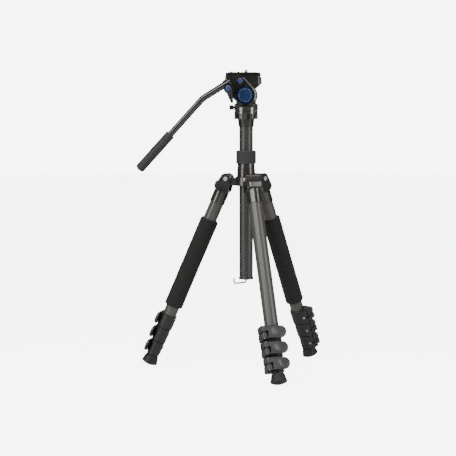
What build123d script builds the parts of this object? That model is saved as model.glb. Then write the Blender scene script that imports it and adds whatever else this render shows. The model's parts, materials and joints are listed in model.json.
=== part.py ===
"""Tripod with a fluid head. It stands on three legs whose sections are pushed in, with its column half
raised. Everything is drawn about the column's axis, with the floor at z = 0 and the lens side at +X, and is
moved by COLUMN_AT when it is written, so that the frame's origin is the middle of the footprint."""

from build123d import *

import os
from math import cos, radians, sin, sqrt

# Driving dimensions, in millimetres and degrees.
COLUMN_AT = (35.7, 13.9)  # the column's axis in the frame, whose origin is the middle of the footprint
GAP = 0.3  # between surfaces that move past each other

# Legs. A leg is drawn hanging straight down from its hinge, with +X pointing away from the column.
LEG_AZIMUTHS = {"rear": 172.0, "right": -68.0, "left": 52.0}
FOAM_LEGS = ("rear", "left")
LEG_ANGLE = 23.5  # from the vertical, at the first stop
HINGE_R = 40.0
HINGE_Z = 393.0
TUBE_R = (14.0, 12.5, 11.0, 9.5)
TUBE_WALL = 1.2
TUBE_TOP = (-28.0, -36.0, -42.0, -48.0)
BOLT_R = 3.0
BOLT_HEAD_R = 4.4
BOLT_HEAD_T = 2.4
BOLT_HEAD_GAP = 0.2
BOLT_HEAD_EDGE = 0.7
BOLT_KEY = 2.2
BOLT_KEY_DEPTH = 1.6

KNUCKLE_W = 25.4
KNUCKLE_R = 10.8
FORK_R = 11.5
FORK_WALL = 3.5
SOCKET_R = 15.3
SOCKET_TOP = -19.8
SOCKET_END = -54.0
FORK_END = -29.0
FORK_FOOT = 5.0
FORK_EDGE = 0.9
SOCKET_EDGE = 0.8
STOP_FACE = -14.1  # where the hub's stop lug ends, in the leg's own frame
STOP_LUG_X = (1.0, 9.0)
TAB_X = (4.0, 18.4)
TAB_Z = (-19.5, -14.3)
TAB_LIP = 2.8
TAB_LIP_Z = (-22.0, -12.6)

CLAMP_H = 30.0
CLAMP_PITCH = 31.3
CLAMP_TOP = -310.0
CLAMP_WALL = 2.5
TUBE_IN_CLAMP = 14.0
EAR_REAR = (-10.0, -3.0)
EAR_FRONT = -1.0
EAR_OUT = 10.5
CLAMP_CORNER = 1.5
CLAMP_EDGE = 0.6
EAR_FROM = -6.0
EAR_NOTCH = (3.0, 2.5)  # height and depth of the notch in the ears' ends
SLIT_TO = -8.0
NOTCH_H = 4.8
LEVER_H = 24.0
LEVER_PIVOT_IN = 4.6  # from the ears' ends to the lever's pin
LEVER_PIVOT_OUT = 0.5  # the pin's axis in front of the clamp's round body
LEVER_BARREL_R = 4.6
LEVER_EAR_GAP = 0.4
LEVER_PIN_R = 1.6
LEVER_BOLT_R = 1.9
LEVER_EYE_R = 3.2
LEVER_END = 22.0  # from the tube's axis to the lever's end
LEVER_CORNER = 11.6
LEVER_EDGE = 0.8
LEVER_SLOT = 7.0
WINDOW_AT = 4.9  # from the pin to the middle of the slot below the barrel's notch
WINDOW_W = 3.4
WINDOW_H = 10.4
DISH_HALF = (15.5, 14.5, 12.5)  # half length of the thumb dish on each lever
DISH_HIGH = 11.2
DISH_DEPTH = 2.4
DISH_RIM = 0.8

GRIP_Z = (-291.0, -91.5)
GRIP_R = 19.2
GRIP_EDGE = 2.5

DOME_R = 31.4
FOOT_RIM_R = 17.0
FOOT_TOP_R = 13.2
FOOT_FLAT = 0.5  # how much of the dome the floor takes off
FOOT_TOP = -405.2
FOOT_BORE = 10.0
FOOT_EDGE = 0.8
FLOOR_T = 20.0

# Hub, column and its lock.
HUB_R = 21.5
HUB_Z = (378.5, 397.5)
ARM_Z = (379.0, 394.5)
HUB_EDGE = 1.2
NECK_R = 18.5
NECK_EDGE = 0.8
NECK_TOP = 413.8
SLEEVE_R = 17.7
SLEEVE_TOP = 424.0
THREAD_R = 16.8
THREAD_TOP = 443.0
RING_R = 20.5
RING_Z = (424.3, 451.2)
RING_LIP = 6.0
RING_TOP_EDGE = 3.0
RING_LOW_EDGE = 1.5
RIB_INSET = 3.5
RIB_COUNT = 40
RIB_R = 0.7
COLUMN_R = 14.0
COLUMN_WALL = 1.4
COLUMN_Z = (190.5, 512.0)
PLUG_R = 15.2
PLUG_Z = 186.0
PLUG_IN = 12.0
PLUG_EDGE = 0.9
HOOK_WIRE_R = 1.6
HOOK_REACH = 36.0
HOOK_AZIMUTH = -132.0
HOOK_TIP = 11.0
HOOK_TIP_EDGE = 0.6
HOOK_BEND = 5.0
HOOK_DROP = 6.5
HOOK_COLLAR_R = 3.6
HOOK_COLLAR_T = 1.5

# Head.
FLANGE_R = 24.2
FLANGE_Z = (515.1, 525.4)
HEAD_NECK_Z = 499.5
HEAD_NECK_R = (15.2, 17.2)
FLANGE_LOBES = 12
LOBE_R = 4.0
LOBE_DEPTH = 1.1
FLANGE_EDGE = 0.9
STUD_R = 4.76  # a 3/8 inch head thread
STUD_H = 8.0
PAN_BASE_R = 24.0
PAN_SEAM = 531.9
PAN_R = 24.3
PAN_TOP = 546.6
PAN_FLAT = 18.5
PAN_FLAT_Z = 538.8
SPINDLE_R = 9.0
SPINDLE_TOP = 544.0
PAN_EDGE = 1.0
PAN_KNOB_Z = 539.0
PAN_KNOB_AZIMUTH = 184.0
PAN_KNOB_R = 5.0
PAN_KNOB_REACH = 34.5
PAN_KNOB_FROM = 25.2
PAN_SHAFT_R = 2.5
PAN_SHAFT_FROM = 12.0
KNURL_R = 0.45
KNURL_COUNT = 20

TILT_X = 0.0
TILT_Z = 564.0
DRUM_R = 21.0
DRUM_HALF = 18.3
CARTRIDGE_R = 16.6
AXLE_R = 5.0
AXLE_Y = (-23.8, 34.5)
DISC_Y = (-17.9, -12.9)
DRUM_NECK = 19.5
CHEEK_Y = (18.8, 24.0)
CHEEK_R = 22.4
CHEEK_EDGE = 2.8
CHEEK_APEX = (-10.0, 28.2, 7.2)  # x and z from the tilt axis, and radius
CHEEK_TIP = (-3.9, 31.8, 4.0)
LUG = (-32.2, 12.5, 9.0)  # x and z from the tilt axis, and radius
LUG_FACE = 26.0
NOSE_HALF = 21.0
NOSE_UNDER = (18.5, 577.3)
NOSE_FACE = (31.7, 588.4)
NOSE_TOP = (30.5, 601.0)
NOSE_BACK = 6.0
NOSE_CORNER = 6.5
DRUM_CLEAR = 22.0
WEB_Z = (586.2, 590.0)
CAP_R = 18.7
CAP_T = 2.4
CAP_GROOVE = (15.2, 16.0)
CAP_EDGE = 0.7

RECEIVER_X = (-42.0, 29.0)
RECEIVER_HALF = 21.5
RECEIVER_Z = (590.0, 602.0)
PLATE_X = (-41.0, 29.0)
PLATE_HALF = 21.5
PLATE_Z = (602.4, 610.5)
TENON_Z = 595.5
TENON_HALF = (16.0, 13.0)
TENON_INSET = 1.0  # the dovetail ends this much inside the plate
RECEIVER_NOSE = 11.0
PLATE_CORNER = 5.0
PLATE_EDGE = 0.8
PAD_H = 0.8
PAD_W = 8.0
PAD_Y = 15.5
PAD_X = (-35.0, 23.0)
SCREW_X = 0.0
SLOT_LENGTH = 26.0
SLOT_R = 3.5
POCKET_R = 8.0
POCKET_TOP = 604.0
SCREW_HEAD_R = 7.4
SCREW_WAIST_R = 2.8
SCREW_HEAD_Z = (600.6, 603.6)
PIN_AT = (-16.0, 0.0)
PIN_R = 2.0
PIN_H = 2.4
STOP_BAR_X = -30.5
STOP_BAR = (3.0, 18.0)
CAMERA_SCREW_R = 3.175  # a 1/4 inch camera thread
CAMERA_SCREW_H = 5.1
BUTTON_R = 5.6
BUTTON_OUT = 2.4
BUTTON_BACK = -22.6
BUTTON_POCKET = -19.8

# Pan bar.
BAR_Y = -35.6
BAR_R = 6.7
BAR_END = (-29.4, 591.3)
BAR_BEND = (-85.2, 557.2)
BAR_TIP = (-214.7, 414.6)
BAR_BEND_R = 45.0
GRIP_LENGTH = 97.0
BAR_GRIP_R = 9.8
BAR_GRIP_END = 3.0
GRIP_TIP_EDGE = 6.0
BRACKET_HALF = 8.8
BRACKET_R = 10.5
BRACKET_EDGE = 1.0
BRACKET_GAP = 0.4
SADDLE_FACE = 38.0  # the saddle wraps the bar out to here from the head's middle
BRACKET_BOLT_R = 2.2
BRACKET_BOLT_OUT = 4.5
BAR_LEVER_R = 7.0
BAR_LEVER_TIP = (6.9, -26.4, 2.9)
BAR_LEVER_T = 6.5
BAR_LEVER_CAP_T = 1.2
BAR_GRIP_RIBS = 12
BAR_GRIP_RIB = 0.5

# Knobs on the far side of the head.
TILT_KNOB_R = 15.0
TILT_KNOB_T = 11.0
KNOB_LOBES = 8
KNOB_LOBE_R = 3.4
KNOB_LOBE_DEPTH = 1.4
KNOB_EDGE = 1.0
CLAMP_KNOB_AT = (10.0, 596.0)
CLAMP_KNOB_R = 9.0
CLAMP_KNOB_T = 12.0
CLAMP_BOSS_R = 5.5
KNOB_SEAT = 26.0
CLAMP_SHAFT_R = 3.0
CLAMP_SHAFT_TO = 17.5

# Sizes that follow from those above.
FORK_IN = KNUCKLE_W / 2 + GAP
FORK_OUT = FORK_IN + FORK_WALL
DOME_CENTRE = (HINGE_Z - DOME_R + FOOT_FLAT) / cos(radians(LEG_ANGLE))
FOOT_APEX = -DOME_CENTRE - DOME_R
FOOT_RIM = -DOME_CENTRE - sqrt(DOME_R**2 - FOOT_RIM_R**2)
LUG_AT = (TILT_X + LUG[0], TILT_Z + LUG[1])
APEX_AT = (TILT_X + CHEEK_APEX[0], TILT_Z + CHEEK_APEX[1])
TIP_AT = (TILT_X + CHEEK_TIP[0], TILT_Z + CHEEK_TIP[1])
CAP_FACE = CHEEK_Y[1] + CAP_T


def on_column():
    """Where a piece drawn about the column's axis goes in the frame."""
    return Location((*COLUMN_AT, 0))


def on_leg(azimuth):
    """Where a piece drawn hanging from a leg's hinge goes in the frame."""
    hinge = Location((HINGE_R, 0, HINGE_Z), (0, -LEG_ANGLE, 0))
    return on_column() * Location((0, 0, 0), (0, 0, azimuth)) * hinge


def write(name, place, *solids):
    """Writes one node: its solid, or its group of separate solids, put where it belongs."""
    moved = [s.moved(place) for group in solids for s in group.solids()]
    node = moved[0] if len(moved) == 1 else Compound(children=moved)
    node.label = name
    export_step(node, f"parts/{name}.step")


# ---------------------------------------------------------------- hub, hinges and column


def upright(azimuth):
    """A plane through the column's axis, with its x axis along a leg's azimuth and its y axis up."""
    a = radians(azimuth)
    return Plane(origin=(0, 0, 0), x_dir=(cos(a), sin(a), 0), z_dir=(sin(a), -cos(a), 0))


def hinge_axis(azimuth):
    """A leg's hinge, with the pin's direction as its z axis."""
    return Location((0, 0, 0), (0, 0, azimuth)) * Location((HINGE_R, 0, HINGE_Z), (90, 0, 0))


def make_hub():
    """The casting that carries the legs: a ring with three arms, and the column's neck above it."""
    with BuildPart() as hub:
        with BuildSketch(Plane.XY.offset(HUB_Z[0])):
            Circle(HUB_R)
        extrude(amount=HUB_Z[1] - HUB_Z[0])
        chamfer(hub.edges().filter_by(GeomType.CIRCLE), HUB_EDGE)
        for azimuth in LEG_AZIMUTHS.values():
            with BuildSketch(upright(azimuth)):
                with Locations((HINGE_R / 2, sum(ARM_Z) / 2)):
                    Rectangle(HINGE_R, ARM_Z[1] - ARM_Z[0])
                with Locations((HINGE_R, HINGE_Z)):
                    Circle(KNUCKLE_R)
                with Locations(Location((HINGE_R, HINGE_Z, 0), (0, 0, LEG_ANGLE))):
                    with Locations((sum(STOP_LUG_X) / 2, STOP_FACE / 2)):
                        Rectangle(STOP_LUG_X[1] - STOP_LUG_X[0], -STOP_FACE)
            extrude(amount=KNUCKLE_W / 2, both=True)
        with BuildSketch(Plane.XZ):
            with BuildLine():
                Polyline(
                    (0, HUB_Z[1] - NECK_EDGE),
                    (NECK_R, HUB_Z[1] - NECK_EDGE),
                    (NECK_R, NECK_TOP - NECK_EDGE),
                    (SLEEVE_R, NECK_TOP),
                    (SLEEVE_R, SLEEVE_TOP),
                    (THREAD_R, SLEEVE_TOP),
                    (THREAD_R, THREAD_TOP),
                    (0, THREAD_TOP),
                    close=True,
                )
            make_face()
        revolve(axis=Axis.Z)
        with BuildSketch(Plane.XY.offset(HUB_Z[0])):
            Circle(COLUMN_R + GAP)
        extrude(amount=THREAD_TOP - HUB_Z[0], mode=Mode.SUBTRACT)
        for azimuth in LEG_AZIMUTHS.values():
            with Locations(hinge_axis(azimuth)):
                Cylinder(BOLT_R, KNUCKLE_W + GAP, mode=Mode.SUBTRACT)
    return hub.part


def make_hinge_bolt(azimuth):
    """One leg's hinge bolt: a flat round head at each end, both with a hexagon socket."""
    seat = FORK_OUT + BOLT_HEAD_GAP
    end = seat + BOLT_HEAD_T
    with BuildPart() as bolt:
        Cylinder(BOLT_R, 2 * seat)
        with Locations((0, 0, seat), (0, 0, -end)):
            Cylinder(BOLT_HEAD_R, BOLT_HEAD_T, align=(Align.CENTER, Align.CENTER, Align.MIN))
        chamfer(bolt.edges().group_by(Axis.Z)[0] + bolt.edges().group_by(Axis.Z)[-1], BOLT_HEAD_EDGE)
        with BuildSketch(Plane.XY.offset(end)):
            RegularPolygon(BOLT_KEY, 6)
        extrude(amount=-BOLT_KEY_DEPTH, mode=Mode.SUBTRACT)
        with BuildSketch(Plane.XY.offset(-end)):
            RegularPolygon(BOLT_KEY, 6)
        extrude(amount=BOLT_KEY_DEPTH, mode=Mode.SUBTRACT)
    return bolt.part.moved(hinge_axis(azimuth))


def make_lock_ring():
    """The ring that is twisted to clamp the column, ribbed round its outside."""
    height = RING_Z[1] - RING_Z[0]
    with BuildPart() as ring:
        with BuildSketch(Plane.XY.offset(RING_Z[0])):
            Circle(RING_R)
            Circle(THREAD_R + GAP, mode=Mode.SUBTRACT)
        extrude(amount=height - RING_LIP)
        with BuildSketch(Plane.XY.offset(RING_Z[1] - RING_LIP)):
            Circle(RING_R)
            Circle(COLUMN_R + GAP, mode=Mode.SUBTRACT)
        extrude(amount=RING_LIP)
        outside = ring.edges().filter_by(GeomType.CIRCLE).group_by(SortBy.RADIUS)[-1]
        fillet(outside.sort_by(Axis.Z)[-1], RING_TOP_EDGE)
        outside = ring.edges().filter_by(GeomType.CIRCLE).group_by(SortBy.RADIUS)[-1]
        fillet(outside.sort_by(Axis.Z)[0], RING_LOW_EDGE)
        with BuildSketch(Plane.XY.offset(RING_Z[0] + RIB_INSET)):
            with PolarLocations(RING_R, RIB_COUNT):
                Circle(RIB_R)
        extrude(amount=height - RIB_INSET - RING_TOP_EDGE, mode=Mode.SUBTRACT)
    return ring.part


def make_tube(radius, wall, low, high):
    """A plain tube about the z axis."""
    with BuildPart() as tube:
        with BuildSketch(Plane.XY.offset(low)):
            Circle(radius)
            Circle(radius - wall, mode=Mode.SUBTRACT)
        extrude(amount=high - low)
    return tube.part


def make_column_plate():
    """The lobed plate on top of the column that the head screws down on, with its stud."""
    with BuildPart() as plate:
        with BuildSketch(Plane.XZ):
            with BuildLine():
                Polyline(
                    (0, HEAD_NECK_Z),
                    (HEAD_NECK_R[0], HEAD_NECK_Z),
                    (HEAD_NECK_R[1], FLANGE_Z[0]),
                    (0, FLANGE_Z[0]),
                    close=True,
                )
            make_face()
        revolve(axis=Axis.Z)
        with BuildSketch(Plane.XY.offset(FLANGE_Z[0])):
            Circle(FLANGE_R)
            with PolarLocations(FLANGE_R + LOBE_R - LOBE_DEPTH, FLANGE_LOBES):
                Circle(LOBE_R, mode=Mode.SUBTRACT)
        extrude(amount=FLANGE_Z[1] - FLANGE_Z[0])
        fillet(plate.faces().sort_by(Axis.Z)[-1].edges(), FLANGE_EDGE)
        with BuildSketch(Plane.XY.offset(FLANGE_Z[1] - FLANGE_EDGE)):
            Circle(STUD_R)
        extrude(amount=STUD_H + FLANGE_EDGE)
        with BuildSketch(Plane.XY.offset(HEAD_NECK_Z)):
            Circle(COLUMN_R)
        extrude(amount=COLUMN_Z[1] - HEAD_NECK_Z, mode=Mode.SUBTRACT)
    return plate.part


def make_column_plug():
    """The plug in the column's lower end, bored for the hook's stem."""
    with BuildPart() as plug:
        with BuildSketch(Plane.XY.offset(PLUG_Z)):
            Circle(PLUG_R)
        extrude(amount=COLUMN_Z[0] - PLUG_Z)
        fillet(plug.edges().filter_by(GeomType.CIRCLE), PLUG_EDGE)
        with BuildSketch(Plane.XY.offset(COLUMN_Z[0] - PLUG_EDGE)):
            Circle(COLUMN_R - COLUMN_WALL)
        extrude(amount=PLUG_IN + PLUG_EDGE)
        with BuildSketch(Plane.XY.offset(PLUG_Z)):
            Circle(HOOK_WIRE_R + GAP)
        extrude(amount=PLUG_IN + COLUMN_Z[0] - PLUG_Z, mode=Mode.SUBTRACT)
    return plug.part


def make_bag_hook():
    """The wire hook under the column: a stem that turns in the plug, an arm and a tip bent up."""
    low = PLUG_Z - HOOK_DROP
    with BuildPart() as hook:
        with BuildLine():
            wire = FilletPolyline(
                (0, 0, PLUG_Z + PLUG_IN),
                (0, 0, low),
                (HOOK_REACH - HOOK_WIRE_R, 0, low),
                (HOOK_REACH - HOOK_WIRE_R, 0, low + HOOK_TIP),
                radius=HOOK_BEND,
            )
        with BuildSketch(Plane(origin=(0, 0, PLUG_Z + PLUG_IN), z_dir=(0, 0, -1))):
            Circle(HOOK_WIRE_R)
        sweep(path=wire)
        with Locations((0, 0, PLUG_Z - HOOK_COLLAR_T / 2 - GAP)):
            Cylinder(HOOK_COLLAR_R, HOOK_COLLAR_T)
        chamfer(hook.faces().filter_by(Axis.Z).sort_by(Axis.X)[-1].edges(), HOOK_TIP_EDGE)
    return hook.part.moved(Location((0, 0, 0), (0, 0, HOOK_AZIMUTH)))


# ---------------------------------------------------------------- a leg, hanging from its hinge


def make_shoulder():
    """A leg's top casting: two fork plates round the hinge, and the socket for the upper tube."""
    with BuildPart() as shoulder:
        with BuildSketch(Plane.XZ.offset(-FORK_OUT)):
            Circle(FORK_R)
            with BuildLine():
                Polyline(
                    (-FORK_R, 0),
                    (FORK_R, 0),
                    (SOCKET_R, SOCKET_TOP),
                    (SOCKET_R, FORK_END + FORK_FOOT),
                    (SOCKET_R / 2, FORK_END),
                    (-SOCKET_R / 2, FORK_END),
                    (-SOCKET_R, FORK_END + FORK_FOOT),
                    (-SOCKET_R, SOCKET_TOP),
                    close=True,
                )
            make_face()
        extrude(amount=2 * FORK_OUT)
        sides = shoulder.faces().sort_by(Axis.Y)
        chamfer(sides[0].edges() + sides[-1].edges(), FORK_EDGE)
        with BuildSketch(Plane.XY.offset(SOCKET_END)):
            Circle(SOCKET_R)
        extrude(amount=SOCKET_TOP - SOCKET_END)
        chamfer(shoulder.faces().sort_by(Axis.Z)[0].edges(), SOCKET_EDGE)
        with BuildSketch(Plane.XZ.offset(-FORK_IN)):
            with Locations((0, (SOCKET_TOP + FORK_R) / 2)):
                Rectangle(4 * FORK_R, FORK_R - SOCKET_TOP)
        extrude(amount=2 * FORK_IN, mode=Mode.SUBTRACT)
        with BuildSketch(Plane.XY.offset(SOCKET_END)):
            Circle(TUBE_R[0])
        extrude(amount=TUBE_TOP[0] - SOCKET_END, mode=Mode.SUBTRACT)
        with BuildSketch(Plane.XZ.offset(-FORK_OUT)):
            Circle(BOLT_R + GAP)
        extrude(amount=2 * FORK_OUT, mode=Mode.SUBTRACT)
    return shoulder.part


def make_stop_tab():
    """The catch between the fork plates that a leg comes to rest on; pulled out, it frees the leg."""
    with BuildPart() as tab:
        with BuildSketch(Plane.XZ.offset(-KNUCKLE_W / 2)):
            with BuildLine():
                Polyline(
                    (TAB_X[0], TAB_Z[0]),
                    (TAB_X[1] - TAB_LIP, TAB_Z[0]),
                    (TAB_X[1] - TAB_LIP, TAB_LIP_Z[0]),
                    (TAB_X[1], TAB_LIP_Z[0]),
                    (TAB_X[1], TAB_LIP_Z[1]),
                    (TAB_X[1] - TAB_LIP, TAB_Z[1]),
                    (TAB_X[0], TAB_Z[1]),
                    close=True,
                )
            make_face()
        extrude(amount=KNUCKLE_W)
        fillet(tab.edges().filter_by(Axis.Z).group_by(Axis.X)[-1], TAB_LIP - CLAMP_EDGE)
    return tab.part


def clamp_sizes(number):
    """A clamp's outer radius, its top, and where its lever's pin stands, for the tube it is fixed to."""
    outer = TUBE_R[number] + CLAMP_WALL
    top = CLAMP_TOP - number * CLAMP_PITCH
    pin = (outer + LEVER_PIVOT_OUT, -(outer + EAR_OUT) + LEVER_PIVOT_IN)
    return outer, top, pin


def make_clamp(number):
    """A leg clamp: a split ring with two ears, and the bolt through the ears with the lever's pin."""
    outer, top, pin = clamp_sizes(number)
    low = top - CLAMP_H
    middle = top - CLAMP_H / 2
    ear_end = -(outer + EAR_OUT)
    ear_face = pin[0] - LEVER_BARREL_R - LEVER_EAR_GAP
    with BuildPart() as clamp:
        with BuildSketch(Plane.XY.offset(low)):
            Circle(outer)
            with Locations(((EAR_REAR[0] + ear_face) / 2, (ear_end + EAR_FROM) / 2)):
                Rectangle(ear_face - EAR_REAR[0], EAR_FROM - ear_end)
        extrude(amount=CLAMP_H)
        fillet(clamp.edges().filter_by(Axis.Z).group_by(Axis.Y)[0], CLAMP_CORNER)
        chamfer(clamp.faces().filter_by(Axis.Z).edges(), CLAMP_EDGE)
        with BuildSketch(Plane.XY.offset(middle)):
            with Locations(((EAR_REAR[0] + ear_face) / 2, ear_end)):
                Rectangle(2 * (ear_face - EAR_REAR[0]), 2 * EAR_NOTCH[1])
        extrude(amount=EAR_NOTCH[0] / 2, both=True, mode=Mode.SUBTRACT)
        with BuildSketch(Plane.XY.offset(low)):
            Circle(TUBE_R[number + 1] + GAP)
        extrude(amount=CLAMP_H, mode=Mode.SUBTRACT)
        with BuildSketch(Plane.XY.offset(top)):
            Circle(TUBE_R[number])
        extrude(amount=-TUBE_IN_CLAMP, mode=Mode.SUBTRACT)
        with BuildSketch(Plane.XY.offset(low)):
            with Locations(((EAR_REAR[1] + EAR_FRONT) / 2, (ear_end + SLIT_TO) / 2)):
                Rectangle(EAR_FRONT - EAR_REAR[1], SLIT_TO - ear_end)
        extrude(amount=CLAMP_H, mode=Mode.SUBTRACT)
        with BuildSketch(Plane.YZ.offset(EAR_REAR[0] + CLAMP_EDGE)):
            with Locations((pin[1], middle)):
                Circle(LEVER_BOLT_R)
        extrude(amount=pin[0] - EAR_REAR[0] - CLAMP_EDGE)
        with BuildSketch(Plane.XY.offset(middle)):
            with Locations(pin):
                Circle(LEVER_EYE_R)
        extrude(amount=NOTCH_H / 2 - GAP, both=True)
        with BuildSketch(Plane.XY.offset(middle)):
            with Locations(pin):
                Circle(LEVER_PIN_R)
        extrude(amount=LEVER_H / 2 - CLAMP_EDGE, both=True)
    return clamp.part


def make_lever(number):
    """A clamp's flip lever: a slotted barrel on the pin, and a plate with a thumb dish at its end."""
    top, pin = clamp_sizes(number)[1:]
    middle = top - CLAMP_H / 2
    inner = pin[0] + LEVER_EAR_GAP / 2
    front = pin[0] + LEVER_BARREL_R
    half = DISH_HALF[number]
    across_r = (half**2 + DISH_DEPTH**2) / (2 * DISH_DEPTH)
    upright_r = (DISH_HIGH**2 + DISH_DEPTH**2) / (2 * DISH_DEPTH)
    span = sqrt(across_r**2 - (across_r - upright_r) ** 2)
    axis_x = front + upright_r - DISH_DEPTH
    dish_y = LEVER_END - half - DISH_RIM
    with BuildPart() as lever:
        with BuildSketch(Plane.XY.offset(middle)):
            with Locations(pin):
                Circle(LEVER_BARREL_R)
            with Locations(((inner + front) / 2, (pin[1] + LEVER_END) / 2)):
                Rectangle(front - inner, LEVER_END - pin[1])
        extrude(amount=LEVER_H / 2, both=True)
        fillet(lever.edges().filter_by(Axis.X).group_by(Axis.Y)[-1], LEVER_CORNER)
        chamfer(lever.faces().filter_by(Axis.X).sort_by(Axis.X)[-1].edges(), LEVER_EDGE)
        with BuildSketch(Plane.XY.offset(middle)):
            with Locations(pin):
                Rectangle(3 * LEVER_BARREL_R, 2 * LEVER_SLOT)
        extrude(amount=NOTCH_H / 2, both=True, mode=Mode.SUBTRACT)
        with BuildSketch(Plane.XY.offset(middle)):
            with Locations((pin[0], pin[1] + WINDOW_AT)):
                Rectangle(3 * LEVER_BARREL_R, WINDOW_W)
        extrude(amount=-WINDOW_H, mode=Mode.SUBTRACT)
        with BuildSketch(Plane.XY.offset(middle)):
            with Locations(pin):
                Circle(LEVER_PIN_R + GAP)
        extrude(amount=LEVER_H / 2, both=True, mode=Mode.SUBTRACT)
        with BuildSketch(Plane.XY.offset(middle)):
            with BuildLine():
                ThreePointArc((axis_x, dish_y - span), (axis_x - upright_r, dish_y), (axis_x, dish_y + span))
                Line((axis_x, dish_y + span), (axis_x, dish_y - span))
            make_face()
        revolve(axis=Axis((axis_x, 0, middle), (0, 1, 0)), mode=Mode.SUBTRACT)
    return lever.part


def make_foam_grip():
    """The foam sleeve on a leg's upper tube."""
    with BuildPart() as grip:
        with BuildSketch(Plane.XY.offset(GRIP_Z[0])):
            Circle(GRIP_R)
        extrude(amount=GRIP_Z[1] - GRIP_Z[0])
        fillet(grip.edges().filter_by(GeomType.CIRCLE), GRIP_EDGE)
        with BuildSketch(Plane.XY.offset(GRIP_Z[0])):
            Circle(TUBE_R[0])
        extrude(amount=GRIP_Z[1] - GRIP_Z[0], mode=Mode.SUBTRACT)
    return grip.part


def make_foot():
    """The rubber foot: a flared cup with a domed sole, worn flat where it stands on the floor."""
    hinge = Location((HINGE_R, 0, HINGE_Z), (0, -LEG_ANGLE, 0))
    stand_x = HINGE_R + DOME_CENTRE * sin(radians(LEG_ANGLE))
    with BuildPart() as foot:
        with BuildSketch(Plane.XZ):
            with BuildLine():
                Polyline(
                    (0, FOOT_APEX),
                    (0, FOOT_TOP),
                    (FOOT_TOP_R - FOOT_EDGE, FOOT_TOP),
                    (FOOT_TOP_R, FOOT_TOP - FOOT_EDGE),
                    (FOOT_RIM_R, FOOT_RIM),
                )
                RadiusArc((FOOT_RIM_R, FOOT_RIM), (0, FOOT_APEX), DOME_R)
            make_face()
        revolve(axis=Axis.Z)
        with BuildSketch(Plane.XY.offset(FOOT_TOP)):
            Circle(TUBE_R[3])
        extrude(amount=-FOOT_BORE, mode=Mode.SUBTRACT)
        with Locations(hinge.inverse() * Location((stand_x, 0, -FLOOR_T / 2))):
            Box(4 * FOOT_RIM_R, 4 * FOOT_RIM_R, FLOOR_T, mode=Mode.SUBTRACT)
    return foot.part


# ---------------------------------------------------------------- pan and tilt


def make_pan_base():
    """The fixed base of the pan joint, with the spindle that the housing turns on."""
    with BuildPart() as base:
        with BuildSketch(Plane.XY.offset(FLANGE_Z[1])):
            Circle(PAN_BASE_R)
        extrude(amount=PAN_SEAM - FLANGE_Z[1])
        chamfer(base.edges().filter_by(GeomType.CIRCLE), PAN_EDGE / 2)
        with BuildSketch(Plane.XY.offset(PAN_SEAM - PAN_EDGE)):
            Circle(SPINDLE_R)
        extrude(amount=SPINDLE_TOP - PAN_SEAM + PAN_EDGE)
        with BuildSketch(Plane.XY.offset(FLANGE_Z[1])):
            Circle(STUD_R)
        extrude(amount=STUD_H, mode=Mode.SUBTRACT)
    return base.part


def pan_knob_axis():
    """The pan lock's axis, with its z axis pointing out of the housing."""
    return Location((0, 0, PAN_KNOB_Z), (0, 0, PAN_KNOB_AZIMUTH)) * Location((0, 0, 0), (0, 90, 0))


def make_pan_housing():
    """The turning housing: a round bell over the pan joint, and the drum that the platform tilts on."""
    drum = Plane(origin=(TILT_X, 0, TILT_Z), x_dir=(1, 0, 0), z_dir=(0, -1, 0))
    with BuildPart() as housing:
        with BuildSketch(Plane.XY.offset(PAN_SEAM + GAP)):
            Circle(PAN_R)
        extrude(amount=PAN_TOP - PAN_SEAM - GAP)
        chamfer(housing.edges().filter_by(GeomType.CIRCLE).sort_by(Axis.Z)[-1], PAN_EDGE)
        with BuildSketch(Plane.XY.offset(PAN_FLAT_Z)):
            Rectangle(4 * PAN_R, 4 * PAN_R)
            Rectangle(4 * PAN_R, 2 * PAN_FLAT, mode=Mode.SUBTRACT)
        extrude(amount=PAN_TOP - PAN_FLAT_Z, mode=Mode.SUBTRACT)
        with BuildSketch(drum):
            Circle(DRUM_R)
            with Locations((0, (PAN_TOP - TILT_Z) / 2)):
                Rectangle(2 * DRUM_NECK, TILT_Z - PAN_TOP)
        extrude(amount=DRUM_HALF, both=True)
        with BuildSketch(Plane.XY.offset(PAN_SEAM)):
            Circle(SPINDLE_R + GAP)
        extrude(amount=SPINDLE_TOP + GAP - PAN_SEAM, mode=Mode.SUBTRACT)
        with BuildSketch(drum):
            Circle(AXLE_R + GAP)
        extrude(amount=DRUM_HALF, both=True, mode=Mode.SUBTRACT)
        with BuildSketch(drum.offset(-DISC_Y[1] - GAP)):
            Circle(CARTRIDGE_R + GAP)
        extrude(amount=DRUM_HALF, mode=Mode.SUBTRACT)
        with BuildSketch(Plane(pan_knob_axis())):
            Circle(PAN_SHAFT_R + GAP)
        extrude(amount=PAN_KNOB_REACH, mode=Mode.SUBTRACT)
    return housing.part


def make_pan_knob():
    """The pan lock: a small knurled head on a screw that reaches the spindle's neighbourhood."""
    with BuildPart() as knob:
        with BuildSketch(Plane.XY.offset(PAN_KNOB_FROM)):
            Circle(PAN_KNOB_R)
            with PolarLocations(PAN_KNOB_R, KNURL_COUNT):
                Circle(KNURL_R, mode=Mode.SUBTRACT)
        extrude(amount=PAN_KNOB_REACH - PAN_KNOB_FROM)
        with BuildSketch(Plane.XY.offset(PAN_SHAFT_FROM)):
            Circle(PAN_SHAFT_R)
        extrude(amount=PAN_KNOB_FROM - PAN_SHAFT_FROM)
    return knob.part.moved(pan_knob_axis())


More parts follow.
